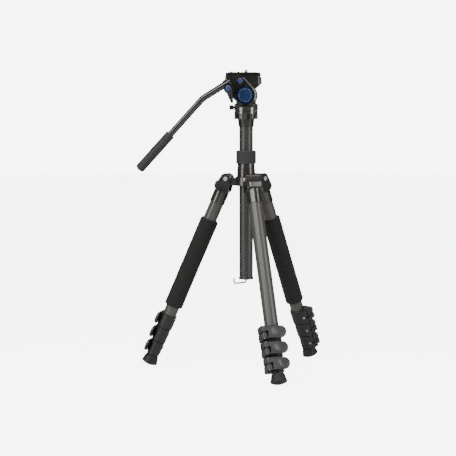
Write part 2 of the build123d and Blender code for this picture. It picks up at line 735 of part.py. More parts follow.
def make_tilt_axle():
    """The axle across the head, fixed in the cheeks, with the drag disc that turns in the drum."""
    with BuildPart() as axle:
        with BuildSketch(Plane.XZ.offset(-AXLE_Y[1])):
            with Locations((TILT_X, TILT_Z)):
                Circle(AXLE_R)
        extrude(amount=AXLE_Y[1] - AXLE_Y[0])
        with BuildSketch(Plane.XZ.offset(-DISC_Y[1])):
            with Locations((TILT_X, TILT_Z)):
                Circle(CARTRIDGE_R)
        extrude(amount=DISC_Y[1] - DISC_Y[0])
    return axle.part


def cheek_outline(with_lug):
    """The cheek's outline: a round plate on the tilt axis, drawn up into an apex under the plate."""
    with BuildSketch(Plane.XZ, mode=Mode.PRIVATE) as outline:
        with Locations((TILT_X, TILT_Z)):
            Circle(CHEEK_R)
        with Locations(APEX_AT):
            Circle(CHEEK_APEX[2])
        with Locations(TIP_AT):
            Circle(CHEEK_TIP[2])
        if with_lug:
            with Locations(LUG_AT):
                Circle(LUG[2])
        make_hull()
    return outline.sketch


def make_cheek(side, with_lug):
    """One cheek plate, bevelled round its outer face; side is 1 for the near one."""
    outline = cheek_outline(with_lug)
    with BuildPart() as cheek:
        with BuildSketch(Plane.XZ.offset(CHEEK_Y[0] if side > 0 else -CHEEK_Y[1])):
            add(outline)
        extrude(amount=CHEEK_Y[1] - CHEEK_Y[0])
        outer = cheek.faces().filter_by(Axis.Y).sort_by(Axis.Y)[0 if side > 0 else -1]
        chamfer(outer.edges(), CHEEK_EDGE)
    return cheek.part


def make_platform():
    """The tilting platform: two cheeks, the web across the drum, and the receiver for the plate."""
    middle_x = sum(RECEIVER_X) / 2
    length = RECEIVER_X[1] - RECEIVER_X[0]
    cheeks = [make_cheek(1, True), make_cheek(-1, False)]
    with BuildPart() as platform:
        for cheek in cheeks:
            add(cheek)
        with BuildSketch(Plane.XZ.offset(CHEEK_Y[0])):
            with Locations(LUG_AT):
                Circle(LUG[2])
            with Locations(APEX_AT):
                Circle(CHEEK_APEX[2])
        extrude(amount=LUG_FACE - CHEEK_Y[0])
        with BuildSketch(Plane.XY.offset(WEB_Z[0])):
            with Locations((middle_x, 0)):
                Rectangle(length - 2 * RECEIVER_NOSE, 2 * RECEIVER_HALF)
        extrude(amount=WEB_Z[1] - WEB_Z[0])
        with BuildSketch(Plane.XY.offset(RECEIVER_Z[0])):
            with Locations((middle_x, 0)):
                RectangleRounded(length, 2 * RECEIVER_HALF, PLATE_CORNER)
        extrude(amount=RECEIVER_Z[1] - RECEIVER_Z[0])
        with BuildSketch(Plane.XZ.offset(-NOSE_HALF)):
            with BuildLine():
                Polyline(
                    (NOSE_BACK, NOSE_TOP[1]),
                    NOSE_TOP,
                    NOSE_FACE,
                    NOSE_UNDER,
                    (NOSE_BACK, NOSE_UNDER[1]),
                    close=True,
                )
            make_face()
        extrude(amount=2 * NOSE_HALF)
        with BuildSketch(Plane.XY.offset(NOSE_UNDER[1])):
            for side in (1, -1):
                with BuildLine():
                    Polyline(
                        (NOSE_FACE[0] - NOSE_CORNER, side * RECEIVER_HALF),
                        (NOSE_FACE[0], side * RECEIVER_HALF),
                        (NOSE_FACE[0], side * (RECEIVER_HALF - NOSE_CORNER)),
                        close=True,
                    )
                make_face()
        extrude(amount=RECEIVER_Z[1] - NOSE_UNDER[1], mode=Mode.SUBTRACT)
        with BuildSketch(Plane.XZ.offset(-CHEEK_Y[0])):
            with Locations((TILT_X, TILT_Z)):
                Circle(DRUM_CLEAR)
        extrude(amount=2 * CHEEK_Y[0], mode=Mode.SUBTRACT)
        with BuildSketch(Plane.XZ.offset(-KNOB_SEAT)):
            with Locations(CLAMP_KNOB_AT):
                Circle(CLAMP_BOSS_R)
        extrude(amount=KNOB_SEAT - CLAMP_SHAFT_TO)
        with BuildSketch(Plane.YZ.offset(RECEIVER_X[0] - TENON_INSET)):
            with BuildLine():
                Polyline(
                    (-TENON_HALF[0] - GAP, TENON_Z - GAP),
                    (TENON_HALF[0] + GAP, TENON_Z - GAP),
                    (TENON_HALF[1] + GAP, RECEIVER_Z[1] + GAP),
                    (-TENON_HALF[1] - GAP, RECEIVER_Z[1] + GAP),
                    close=True,
                )
            make_face()
        extrude(amount=length + NOSE_BACK, mode=Mode.SUBTRACT)
        with BuildSketch(Plane.XZ.offset(-BUTTON_POCKET)):
            with Locations(APEX_AT):
                Circle(BUTTON_R + GAP)
        extrude(amount=LUG_FACE, mode=Mode.SUBTRACT)
        with BuildSketch(Plane.XZ.offset(-AXLE_Y[1])):
            with Locations((TILT_X, TILT_Z)):
                Circle(AXLE_R)
        extrude(amount=AXLE_Y[1] - AXLE_Y[0], mode=Mode.SUBTRACT)
        with BuildSketch(Plane.XZ.offset(CHEEK_Y[0])):
            with Locations(LUG_AT):
                Circle(BRACKET_BOLT_R + GAP)
        extrude(amount=LUG_FACE, mode=Mode.SUBTRACT)
        with BuildSketch(Plane.XZ.offset(-KNOB_SEAT)):
            with Locations(CLAMP_KNOB_AT):
                Circle(CLAMP_SHAFT_R + GAP)
        extrude(amount=KNOB_SEAT - TENON_HALF[1], mode=Mode.SUBTRACT)
    return platform.part


def make_cap(side):
    """The round cap on a cheek's outside; the far one is bored for the axle."""
    with BuildPart() as cap:
        Cylinder(CAP_R, CAP_T, align=(Align.CENTER, Align.CENTER, Align.MIN))
        chamfer(cap.edges().group_by(Axis.Z)[-1], CAP_EDGE)
        with BuildSketch(Plane.XY.offset(CAP_T)):
            Circle(CAP_GROOVE[1])
            Circle(CAP_GROOVE[0], mode=Mode.SUBTRACT)
        extrude(amount=-CAP_EDGE, mode=Mode.SUBTRACT)
        if side > 0:
            with BuildSketch(Plane.XY):
                Circle(AXLE_R + GAP)
            extrude(amount=CAP_T, mode=Mode.SUBTRACT)
    return cap.part.moved(Location((TILT_X, side * CHEEK_Y[1], TILT_Z), (-90 * side, 0, 0)))


def make_camera_plate():
    """The sliding camera plate: its dovetail, the screw's slot and pocket, and two small stops."""
    middle_x = sum(PLATE_X) / 2
    length = PLATE_X[1] - PLATE_X[0]
    top = PLATE_Z[1] - PAD_H
    with BuildPart() as plate:
        with BuildSketch(Plane.XY.offset(PLATE_Z[0])):
            with Locations((middle_x, 0)):
                RectangleRounded(length, 2 * PLATE_HALF, PLATE_CORNER)
        extrude(amount=top - PLATE_Z[0])
        chamfer(plate.faces().sort_by(Axis.Z)[-1].edges(), PLATE_EDGE)
        with BuildSketch(Plane.YZ.offset(PLATE_X[0] + TENON_INSET)):
            with BuildLine():
                Polyline(
                    (-TENON_HALF[0], TENON_Z),
                    (TENON_HALF[0], TENON_Z),
                    (TENON_HALF[1], PLATE_Z[0]),
                    (-TENON_HALF[1], PLATE_Z[0]),
                    close=True,
                )
            make_face()
        extrude(amount=length - 2 * TENON_INSET)
        with BuildSketch(Plane.XY.offset(top)):
            with Locations(PIN_AT):
                Circle(PIN_R)
            with Locations((STOP_BAR_X, 0)):
                Rectangle(*STOP_BAR)
        extrude(amount=PIN_H)
        with BuildSketch(Plane.XY.offset(TENON_Z)):
            with Locations((SCREW_X, 0)):
                SlotOverall(SLOT_LENGTH, 2 * POCKET_R)
        extrude(amount=POCKET_TOP - TENON_Z, mode=Mode.SUBTRACT)
        with BuildSketch(Plane.XY.offset(POCKET_TOP)):
            with Locations((SCREW_X, 0)):
                SlotOverall(SLOT_LENGTH - 2 * (POCKET_R - SLOT_R), 2 * SLOT_R)
        extrude(amount=top - POCKET_TOP, mode=Mode.SUBTRACT)
    return plate.part


def make_pad(side):
    """One of the two rubber strips on the plate."""
    with BuildPart() as pad:
        with BuildSketch(Plane.XY.offset(PLATE_Z[1] - PAD_H)):
            with Locations((sum(PAD_X) / 2, side * PAD_Y)):
                RectangleRounded(PAD_X[1] - PAD_X[0], PAD_W, PLATE_EDGE)
        extrude(amount=PAD_H)
    return pad.part


def make_camera_screw():
    """The camera screw, with its head in the plate's pocket."""
    with BuildPart() as screw:
        with BuildSketch(Plane.XY.offset(SCREW_HEAD_Z[0])):
            Circle(SCREW_HEAD_R)
        extrude(amount=SCREW_HEAD_Z[1] - SCREW_HEAD_Z[0])
        with BuildSketch(Plane.XY.offset(SCREW_HEAD_Z[1])):
            Circle(SCREW_WAIST_R)
        extrude(amount=PLATE_Z[1] - SCREW_HEAD_Z[1])
        with BuildSketch(Plane.XY.offset(PLATE_Z[1])):
            Circle(CAMERA_SCREW_R)
        extrude(amount=CAMERA_SCREW_H)
        chamfer(screw.edges().filter_by(GeomType.CIRCLE).sort_by(Axis.Z)[-1], PLATE_EDGE)
    return screw.part.moved(Location((SCREW_X, 0, 0)))


def make_button():
    """The plate's release button, in its pocket in the platform's near side."""
    with BuildPart() as button:
        with BuildSketch(Plane.XZ.offset(-BUTTON_BACK)):
            with Locations(APEX_AT):
                Circle(BUTTON_R)
        extrude(amount=LUG_FACE + BUTTON_OUT + BUTTON_BACK)
        fillet(button.edges().filter_by(GeomType.CIRCLE).group_by(Axis.Y)[0], CAP_EDGE)
    return button.part


def far_axis(x, z, y):
    """An axis on the far side of the head, with its z axis pointing away from the head."""
    return Location((x, y, z), (-90, 0, 0))


def make_knob(radius, height, bore, depth):
    """A lobed knob standing on z = 0, with an optional blind bore in its underside."""
    with BuildPart() as knob:
        with BuildSketch(Plane.XY):
            Circle(radius)
            with PolarLocations(radius + KNOB_LOBE_R - KNOB_LOBE_DEPTH, KNOB_LOBES):
                Circle(KNOB_LOBE_R, mode=Mode.SUBTRACT)
        extrude(amount=height)
        chamfer(knob.faces().sort_by(Axis.Z)[-1].edges(), KNOB_EDGE)
        if bore:
            with BuildSketch(Plane.XY):
                Circle(bore)
            extrude(amount=depth, mode=Mode.SUBTRACT)
    return knob.part


def make_clamp_knob():
    """The plate clamp's knob with its screw, drawn standing on the boss on the platform's far side."""
    head = make_knob(CLAMP_KNOB_R, CLAMP_KNOB_T, 0, 0)
    with BuildPart() as knob:
        add(head)
        with BuildSketch(Plane.XY):
            Circle(CLAMP_SHAFT_R)
        extrude(amount=-(KNOB_SEAT + GAP - CLAMP_SHAFT_TO))
    return knob.part


# ---------------------------------------------------------------- pan bar


def bar_line():
    """The pan bar's middle line, from its end in the bracket to its tip."""
    points = [(x, BAR_Y, z) for x, z in (BAR_END, BAR_BEND, BAR_TIP)]
    with BuildLine() as line:
        FilletPolyline(*points, radius=BAR_BEND_R)
    return line.line


def make_bar_bracket():
    """The block that holds the pan bar on the platform's lug: a saddle that wraps the bar, a boss for the
    lever, and the bolt through the lug."""
    line = bar_line()
    near = -BAR_Y - BRACKET_HALF
    far = -BAR_Y + BRACKET_HALF
    bore = Plane(origin=line @ 0, z_dir=-(line % 0))
    with BuildPart() as bracket:
        with BuildSketch(Plane.XZ.offset(near)):
            with Locations(LUG_AT):
                Circle(BRACKET_R)
            with Locations(bracket_top()):
                Circle(BRACKET_HALF)
            make_hull()
        extrude(amount=SADDLE_FACE - near)
        chamfer(bracket.faces().sort_by(Axis.Y)[0].edges(), BRACKET_EDGE)
        with BuildSketch(Plane.XZ.offset(SADDLE_FACE - BRACKET_EDGE)):
            with Locations(LUG_AT):
                Circle(BAR_LEVER_R)
        extrude(amount=far - SADDLE_FACE + BRACKET_EDGE)
        with BuildSketch(Plane.XZ.offset(CHEEK_Y[0] + BRACKET_EDGE)):
            with Locations(LUG_AT):
                Circle(BRACKET_BOLT_R)
        extrude(amount=far + BRACKET_BOLT_OUT - CHEEK_Y[0] - BRACKET_EDGE)
        with BuildSketch(bore):
            Circle(BAR_R)
        extrude(amount=4 * BRACKET_R, both=True, mode=Mode.SUBTRACT)
    return bracket.part


def bracket_top():
    """The point of the bar's middle line that is nearest the bracket's pivot."""
    along = Vector(BAR_BEND[0] - BAR_END[0], BAR_BEND[1] - BAR_END[1]).normalized()
    reach = Vector(LUG_AT[0] - BAR_END[0], LUG_AT[1] - BAR_END[1]).dot(along)
    return (BAR_END[0] + reach * along.X, BAR_END[1] + reach * along.Y)


def make_pan_bar():
    """The bent pan bar, from a little past the bracket to the tip inside the grip."""
    line = bar_line()
    with BuildPart() as bar:
        with BuildLine():
            add(line)
        with BuildSketch(Plane(origin=line @ 0, z_dir=line % 0)):
            Circle(BAR_R)
        sweep(path=line)
    return bar.part


def make_bar_grip():
    """The rubber grip on the bar's end, closed at the tip and grooved across."""
    line = bar_line()
    with BuildPart() as grip:
        with BuildSketch(Plane.XY):
            Circle(BAR_GRIP_R)
        extrude(amount=GRIP_LENGTH)
        ends = grip.edges().filter_by(GeomType.CIRCLE).sort_by(Axis.Z)
        fillet(ends[0], BAR_LEVER_CAP_T)
        fillet(ends[-1], GRIP_TIP_EDGE)
        for number in range(BAR_GRIP_RIBS):
            height = GRIP_LENGTH * (number + 1) / (BAR_GRIP_RIBS + 1)
            with BuildSketch(Plane.XY.offset(height)):
                Circle(2 * BAR_GRIP_R)
                Circle(BAR_GRIP_R - BAR_GRIP_RIB, mode=Mode.SUBTRACT)
            extrude(amount=BAR_GRIP_RIB, both=True, mode=Mode.SUBTRACT)
        with BuildSketch(Plane.XY):
            Circle(BAR_R)
        extrude(amount=GRIP_LENGTH - BAR_GRIP_END, mode=Mode.SUBTRACT)
    tip = Plane(origin=line @ 1, z_dir=line % 1).offset(BAR_GRIP_END - GRIP_LENGTH)
    return grip.part.moved(tip.location)


def make_bar_lever():
    """The small lever that locks the bracket's joint, on the bracket's near face."""
    start = -BAR_Y + BRACKET_HALF + BRACKET_GAP
    tip = (LUG_AT[0] + BAR_LEVER_TIP[0], LUG_AT[1] + BAR_LEVER_TIP[1])
    with BuildPart() as lever:
        with BuildSketch(Plane.XZ.offset(start)):
            with Locations(LUG_AT):
                Circle(BAR_LEVER_R)
            with Locations(tip):
                Circle(BAR_LEVER_TIP[2])
            make_hull()
        extrude(amount=BAR_LEVER_T)
        fillet(lever.faces().sort_by(Axis.Y)[0].edges(), BAR_LEVER_CAP_T)
        with BuildSketch(Plane.XZ.offset(start)):
            with Locations(LUG_AT):
                Circle(BRACKET_BOLT_R + GAP)
        extrude(amount=BAR_LEVER_T - BAR_LEVER_CAP_T, mode=Mode.SUBTRACT)
    return lever.part


# ---------------------------------------------------------------- writing


def write_leg(leg, azimuth):
    """Writes one leg's nodes."""
    place = on_leg(azimuth)
    tubes = []
    for number, radius in enumerate(TUBE_R):
        low = clamp_sizes(number)[1] - TUBE_IN_CLAMP if number < 3 else FOOT_TOP - FOOT_BORE
        tubes.append(make_tube(radius, TUBE_WALL, low, TUBE_TOP[number]))
    write(f"{leg}_shoulder", place, make_shoulder())
    write(f"{leg}_stop_tab", place, make_stop_tab())
    write(f"{leg}_tube_1", place, tubes[0])
    write(f"{leg}_clamp_1", place, make_clamp(0))
    write(f"{leg}_section_2", place, tubes[1], make_clamp(1))
    write(f"{leg}_section_3", place, tubes[2], make_clamp(2))
    write(f"{leg}_tube_4", place, tubes[3])
    for number in range(3):
        write(f"{leg}_lever_{number + 1}", place, make_lever(number))
    write(f"{leg}_foot", place, make_foot())
    if leg in FOAM_LEGS:
        write(f"{leg}_foam_grip", place, make_foam_grip())


def main():
    """Writes every node of the tripod."""
    os.makedirs("parts", exist_ok=True)
    place = on_column()
    for leg, azimuth in LEG_AZIMUTHS.items():
        write_leg(leg, azimuth)
    write("hub", place, make_hub())
    write("hinge_bolts", place, *[make_hinge_bolt(a) for a in LEG_AZIMUTHS.values()])
    write("lock_ring", place, make_lock_ring())
    write("column_tube", place, make_tube(COLUMN_R, COLUMN_WALL, *COLUMN_Z))
    write("column_plate", place, make_column_plate())
    write("column_plug", place, make_column_plug())
    write("bag_hook", place, make_bag_hook())
    write("pan_base", place, make_pan_base())
    write("pan_housing", place, make_pan_housing())
    write("pan_knob", place, make_pan_knob())
    write("tilt_axle", place, make_tilt_axle())
    write("tilt_platform", place, make_platform())
    write("near_cap", place, make_cap(-1))
    write("far_cap", place, make_cap(1))
    write("camera_plate", place, make_camera_plate())
    write("plate_pads", place, make_pad(1), make_pad(-1))
    write("camera_screw", place, make_camera_screw())
    write("release_button", place, make_button())
    tilt_knob = make_knob(TILT_KNOB_R, TILT_KNOB_T, AXLE_R + GAP, AXLE_Y[1] - CAP_FACE)
    write("tilt_knob", place * far_axis(TILT_X, TILT_Z, CAP_FACE + GAP), tilt_knob)
    write("clamp_knob", place * far_axis(*CLAMP_KNOB_AT, KNOB_SEAT + GAP), make_clamp_knob())
    write("bar_bracket", place, make_bar_bracket())
    write("bar_lever", place, make_bar_lever())
    write("pan_bar", place, make_pan_bar())
    write("bar_grip", place, make_bar_grip())


main()
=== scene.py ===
"""Looks for the tripod with fluid head: materials for every CAD node, foam, small fittings and a studio."""

import json
import math

import bmesh
import bpy
from mathutils import Matrix, Vector, noise

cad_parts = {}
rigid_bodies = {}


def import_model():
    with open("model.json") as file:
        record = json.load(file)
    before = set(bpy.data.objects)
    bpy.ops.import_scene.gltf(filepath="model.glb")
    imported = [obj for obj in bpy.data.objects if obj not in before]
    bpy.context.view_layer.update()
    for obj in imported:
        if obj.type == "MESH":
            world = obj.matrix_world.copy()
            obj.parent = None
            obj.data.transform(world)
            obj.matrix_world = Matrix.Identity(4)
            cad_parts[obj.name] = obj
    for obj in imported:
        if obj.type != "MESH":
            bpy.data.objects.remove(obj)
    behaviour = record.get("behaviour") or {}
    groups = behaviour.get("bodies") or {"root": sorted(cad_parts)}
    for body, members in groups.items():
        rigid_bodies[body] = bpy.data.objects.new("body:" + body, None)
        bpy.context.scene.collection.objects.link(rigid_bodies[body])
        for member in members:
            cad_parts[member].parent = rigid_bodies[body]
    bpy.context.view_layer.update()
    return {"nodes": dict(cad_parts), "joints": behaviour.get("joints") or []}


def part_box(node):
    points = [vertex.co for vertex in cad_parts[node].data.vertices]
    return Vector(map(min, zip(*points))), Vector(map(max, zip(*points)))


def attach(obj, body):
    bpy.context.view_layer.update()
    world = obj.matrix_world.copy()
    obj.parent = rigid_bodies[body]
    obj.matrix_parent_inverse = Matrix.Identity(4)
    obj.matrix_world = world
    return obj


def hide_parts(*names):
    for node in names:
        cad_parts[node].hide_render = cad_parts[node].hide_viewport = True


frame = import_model()
NODES = frame["nodes"]
JOINTS = {joint["name"]: joint for joint in frame["joints"]}
MM = 0.001
LEGS = ("rear", "right", "left")
FOAM_LEGS = ("rear", "left")
LEVERS = (1, 2, 3)
TUBE_RADIUS = 14 * MM


# ---------------------------------------------------------------- places, all from the frame


def middle(node):
    """The middle of a node's box."""
    low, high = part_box(node)
    return (low + high) / 2


def joint_point(name):
    """A hinge's point."""
    return Vector(JOINTS[name]["pos_m"])


def joint_axis(name):
    """A joint's direction."""
    return Vector(JOINTS[name]["axis"]).normalized()


def basis(origin, z_axis, x_axis):
    """A frame whose z axis is z_axis, and whose x axis is x_axis made square to it."""
    z = z_axis.normalized()
    x = (x_axis - z * x_axis.dot(z)).normalized()
    y = z.cross(x)
    rows = Matrix((x, y, z)).transposed().to_4x4()
    return Matrix.Translation(origin) @ rows


def leg_frame(leg):
    """A leg's own frame: origin at its hinge, +Z up along the leg, +X away from the column."""
    down = joint_axis(f"{leg}_section_2_slide")
    out = joint_axis(f"{leg}_stop_pull")
    return basis(joint_point(f"{leg}_leg_spread"), -down, out)


COLUMN = joint_point("pan")
UP = Vector((0, 0, 1))
LENS_SIDE = Vector((1, 0, 0))
NEAR_SIDE = Vector((0, -1, 0))
COLUMN_FRAME = basis(Vector((COLUMN.x, COLUMN.y, 0)), UP, LENS_SIDE)
HEAD_FRAME = basis(COLUMN, UP, LENS_SIDE)
LEG_FRAMES = {leg: leg_frame(leg) for leg in LEGS}
TILT = joint_point("tilt")
TILT_FRAME = basis(TILT, NEAR_SIDE, LENS_SIDE)
BAR_PIVOT = joint_point("pan_bar_swing")


# ---------------------------------------------------------------- shader building


class Shader:
    """A small helper that adds nodes to one material and links them."""

    def __init__(self, name):
        self.material = bpy.data.materials.new(name)
        self.material.use_nodes = True
        self.tree = self.material.node_tree
        self.bsdf = self.tree.nodes["Principled BSDF"]
        self.coords = self.node("ShaderNodeTexCoord").outputs["Object"]

    def node(self, kind, **values):
        """Adds a node and sets its properties."""
        made = self.tree.nodes.new(kind)
        for key, value in values.items():
            setattr(made, key, value)
        return made

    def link(self, source, target):
        """Links an output to an input."""
        self.tree.links.new(source, target)

    def math(self, operation, first, second=0.0):
        """A maths node on two numbers or outputs."""
        made = self.node("ShaderNodeMath", operation=operation)
        for socket, value in zip(made.inputs, (first, second)):
            if isinstance(value, (int, float)):
                socket.default_value = value
            else:
                self.link(value, socket)
        return made.outputs[0]

    def local(self, matrix):
        """Coordinates in the frame of a matrix, in metres."""
        moved = self.node("ShaderNodeMapping", vector_type="TEXTURE")
        moved.inputs["Location"].default_value = matrix.to_translation()
        moved.inputs["Rotation"].default_value = matrix.to_euler("XYZ")
        self.link(self.coords, moved.inputs["Vector"])
        return moved.outputs["Vector"]

    def noise(self, size, detail=4.0, roughness=0.55, vector=None, stretch=None):
        """Noise whose grains are about size metres across."""
        vector = vector or self.coords
        if stretch:
            scaled = self.node("ShaderNodeVectorMath", operation="MULTIPLY")
            scaled.inputs[1].default_value = stretch
            self.link(vector, scaled.inputs[0])
            vector = scaled.outputs[0]
        made = self.node("ShaderNodeTexNoise")
        made.inputs["Scale"].default_value = 1.0 / size
        made.inputs["Detail"].default_value = detail
        made.inputs["Roughness"].default_value = roughness
        self.link(vector, made.inputs["Vector"])
        return made.outputs["Fac"]

    def cells(self, size):
        """Distance to the nearest cell centre, for pores and pebble grain."""
        made = self.node("ShaderNodeTexVoronoi")
        made.inputs["Scale"].default_value = 1.0 / size
        self.link(self.coords, made.inputs["Vector"])
        return made.outputs["Distance"]

    def from_axis(self, place):
        """The distance from a frame's z axis, and the height along it."""
        parts = self.node("ShaderNodeSeparateXYZ")
        self.link(self.local(place), parts.inputs[0])
        flat = self.node("ShaderNodeCombineXYZ")
        self.link(parts.outputs["X"], flat.inputs["X"])
        self.link(parts.outputs["Y"], flat.inputs["Y"])
        length = self.node("ShaderNodeVectorMath", operation="LENGTH")
        self.link(flat.outputs[0], length.inputs[0])
        return length.outputs["Value"], parts.outputs["Z"]

    def ramp(self, value, low, high, out_low, out_high):
        """Maps low..high to out_low..out_high, with the ends held."""
        made = self.node("ShaderNodeMapRange", clamp=True)
        ends = {"From Min": low, "From Max": high, "To Min": out_low, "To Max": out_high}
        for name, number in ends.items():
            made.inputs[name].default_value = number
        self.link(value, made.inputs["Value"])
        return made.outputs["Result"]

    def mix(self, factor, first, second):
        """Mixes two colours."""
        made = self.node("ShaderNodeMix", data_type="RGBA")
        for socket, value in ((made.inputs[0], factor), (made.inputs[6], first), (made.inputs[7], second)):
            if isinstance(value, tuple):
                socket.default_value = (*value, 1.0)
            else:
                self.link(value, socket)
        return made.outputs[2]

    def bump(self, height, depth, strength):
        """Bump from a 0..1 height, depth metres deep."""
        made = self.node("ShaderNodeBump")
        made.inputs["Strength"].default_value = strength
        made.inputs["Distance"].default_value = depth
        self.link(height, made.inputs["Height"])
        return made.outputs["Normal"]

    def edge_wear(self, radius):
        """1 near sharp edges and 0 on open faces, from how far a rounded normal leaves the true one."""
        bevel = self.node("ShaderNodeBevel", samples=4)
        bevel.inputs["Radius"].default_value = radius
        geometry = self.node("ShaderNodeNewGeometry")
        product = self.node("ShaderNodeVectorMath", operation="DOT_PRODUCT")
        self.link(bevel.outputs["Normal"], product.inputs[0])
        self.link(geometry.outputs["Normal"], product.inputs[1])
        return self.ramp(product.outputs["Value"], 0.99, 0.90, 0.0, 1.0)

    def set(self, **values):
        """Sets or links the shader's own sockets."""
        for key, value in values.items():
            socket = self.bsdf.inputs[key.replace("_", " ")]
            if isinstance(value, (int, float)):
                socket.default_value = value
            elif isinstance(value, tuple):
                socket.default_value = (*value, 1.0)
            else:
                self.link(value, socket)
        return self.material


# ---------------------------------------------------------------- materials


def carbon(name, place, radius, dark, light):
    """Clear-coated carbon tube: a 2 by 2 twill of fine tows wound round the tube's own axis, with a painted
    sheen: the tows on top and the crown of each tow are coloured lighter.
    """
    tow = 1.2 * MM
    s = Shader(name)
    parts = s.node("ShaderNodeSeparateXYZ")
    s.link(s.local(place), parts.inputs[0])
    angle = s.math("ARCTAN2", parts.outputs["Y"], parts.outputs["X"])
    across = s.math("DIVIDE", s.math("MULTIPLY", angle, radius), tow)
    along = s.math("DIVIDE", parts.outputs["Z"], tow)
    step = s.math("ADD", s.math("FLOOR", across), s.math("FLOOR", along))
    over = s.math("LESS_THAN", s.math("MODULO", s.math("ADD", step, 4000.0), 4.0), 1.99)
    tow_u = s.math("ABSOLUTE", s.math("SINE", s.math("MULTIPLY", across, math.pi)))
    tow_v = s.math("ABSOLUTE", s.math("SINE", s.math("MULTIPLY", along, math.pi)))
    pick_u = s.math("MULTIPLY", over, tow_u)
    pick_v = s.math("MULTIPLY", s.math("SUBTRACT", 1.0, over), tow_v)
    crown = s.math("ADD", pick_u, pick_v)
    fibres = s.noise(0.35 * MM, 3.0, vector=s.local(place), stretch=(1.0, 1.0, 0.06))
    streaks = s.noise(3.0 * MM, 3.0, vector=s.local(place), stretch=(1.0, 1.0, 0.05))
    # Painted sheen: the tows lying on top and the middle of each tow are made lighter, in place of the
    # fibres' directional shine. Fibres and streaks are random tone.
    tone = s.math("ADD", s.math("MULTIPLY", over, 0.16), s.math("MULTIPLY", crown, 0.12))
    tone = s.math("ADD", tone, s.math("MULTIPLY", fibres, 0.35))
    tone = s.math("ADD", tone, s.math("MULTIPLY", streaks, 0.45))
    colour = s.mix(s.ramp(tone, 0.15, 0.95, 0.0, 1.0), dark, light)
    smudge = s.noise(40 * MM, 3.0)
    rough = s.ramp(s.math("ADD", s.math("MULTIPLY", tone, 0.3), smudge), 0.3, 1.0, 0.36, 0.48)
    normal = s.bump(crown, 0.03 * MM, 0.2)
    return s.set(
        Base_Color=colour, Roughness=rough, Normal=normal, Metallic=0.15, Coat_Weight=0.35,
        Coat_Roughness=0.22, Specular_IOR_Level=0.5,
    )


def plastic(name, dark, light, grain, roughness, wear=None):
    """Moulded plastic with a fine spark-eroded grain, and edges rubbed a little lighter."""
    s = Shader(name)
    fine = s.noise(grain, 3.0, 0.6)
    broad = s.noise(25 * MM, 3.0)
    colour = s.mix(s.ramp(s.math("ADD", fine, broad), 0.7, 1.3, 0.0, 1.0), dark, light)
    if wear:
        worn = s.math("MULTIPLY", s.edge_wear(0.5 * MM), s.ramp(broad, 0.35, 0.7, 0.25, 0.8))
        colour = s.mix(worn, colour, wear)
    rough = s.ramp(broad, 0.3, 0.7, roughness - 0.06, roughness + 0.06)
    normal = s.bump(fine, 0.05 * MM, 0.6)
    return s.set(Base_Color=colour, Roughness=rough, Normal=normal)


def anodised(name, dark, light, roughness, metallic=0.85, wear=None):
    """Bead-blasted and anodised aluminium: an even metal with a very fine texture."""
    s = Shader(name)
    blast = s.noise(0.5 * MM, 2.0, 0.5)
    broad = s.noise(30 * MM, 3.0)
    colour = s.mix(s.ramp(s.math("ADD", blast, broad), 0.7, 1.3, 0.0, 1.0), dark, light)
    if wear:
        worn = s.math("MULTIPLY", s.edge_wear(0.45 * MM), s.ramp(broad, 0.3, 0.65, 0.35, 1.0))
        colour = s.mix(worn, colour, wear)
    rough = s.ramp(broad, 0.3, 0.7, roughness - 0.05, roughness + 0.05)
    normal = s.bump(blast, 0.02 * MM, 0.5)
    return s.set(Base_Color=colour, Roughness=rough, Normal=normal, Metallic=metallic)


def turned(name, place, dark, light, roughness, metallic=0.9):
    """Metal turned on a lathe about an axis: fine rings, and a slight change of tone between them."""
    s = Shader(name)
    radius, height = s.from_axis(place)
    rings = s.math("ADD", radius, height)
    line = s.node("ShaderNodeTexNoise", noise_dimensions="1D")
    line.inputs["Scale"].default_value = 1.0 / (0.25 * MM)
    line.inputs["Detail"].default_value = 2.0
    s.link(rings, line.inputs["W"])
    colour = s.mix(line.outputs["Fac"], dark, light)
    rough = s.ramp(line.outputs["Fac"], 0.3, 0.7, roughness - 0.06, roughness + 0.06)
    normal = s.bump(line.outputs["Fac"], 0.012 * MM, 0.6)
    return s.set(Base_Color=colour, Roughness=rough, Normal=normal, Metallic=metallic, Anisotropic=0.5)


def rubber(name, dark, light, roughness=0.72, grain=0.7 * MM):
    """Moulded rubber: matt, with a soft pebble grain and a trace of dust."""
    s = Shader(name)
    pebble = s.cells(grain)
    broad = s.noise(18 * MM, 4.0)
    colour = s.mix(s.ramp(broad, 0.3, 0.7, 0.0, 1.0), dark, light)
    normal = s.bump(pebble, 0.06 * MM, 0.5)
    rough = s.ramp(broad, 0.3, 0.7, roughness - 0.05, roughness + 0.08)
    return s.set(Base_Color=colour, Roughness=rough, Normal=normal, Sheen_Weight=0.04, Sheen_Roughness=0.5)


def foam_material():
    """Closed-cell foam: near black, with open pores and a soft sheen."""
    s = Shader("foam")
    pores = s.cells(0.9 * MM)
    fine = s.noise(0.4 * MM, 3.0, 0.7)
    broad = s.noise(35 * MM, 3.0)
    open_cells = s.ramp(pores, 0.1, 0.5, 0.0, 1.0)
    height = s.math("ADD", s.math("MULTIPLY", open_cells, 0.7), s.math("MULTIPLY", fine, 0.3))
    tone = s.math("ADD", s.math("MULTIPLY", height, 0.6), s.math("MULTIPLY", broad, 0.5))
    colour = s.mix(s.ramp(tone, 0.25, 0.85, 0.0, 1.0), (0.0050, 0.0043, 0.0035), (0.0115, 0.0100, 0.0085))
    normal = s.bump(height, 0.15 * MM, 0.8)
    return s.set(Base_Color=colour, Roughness=0.86, Normal=normal, Sheen_Weight=0.02, Sheen_Roughness=0.5)


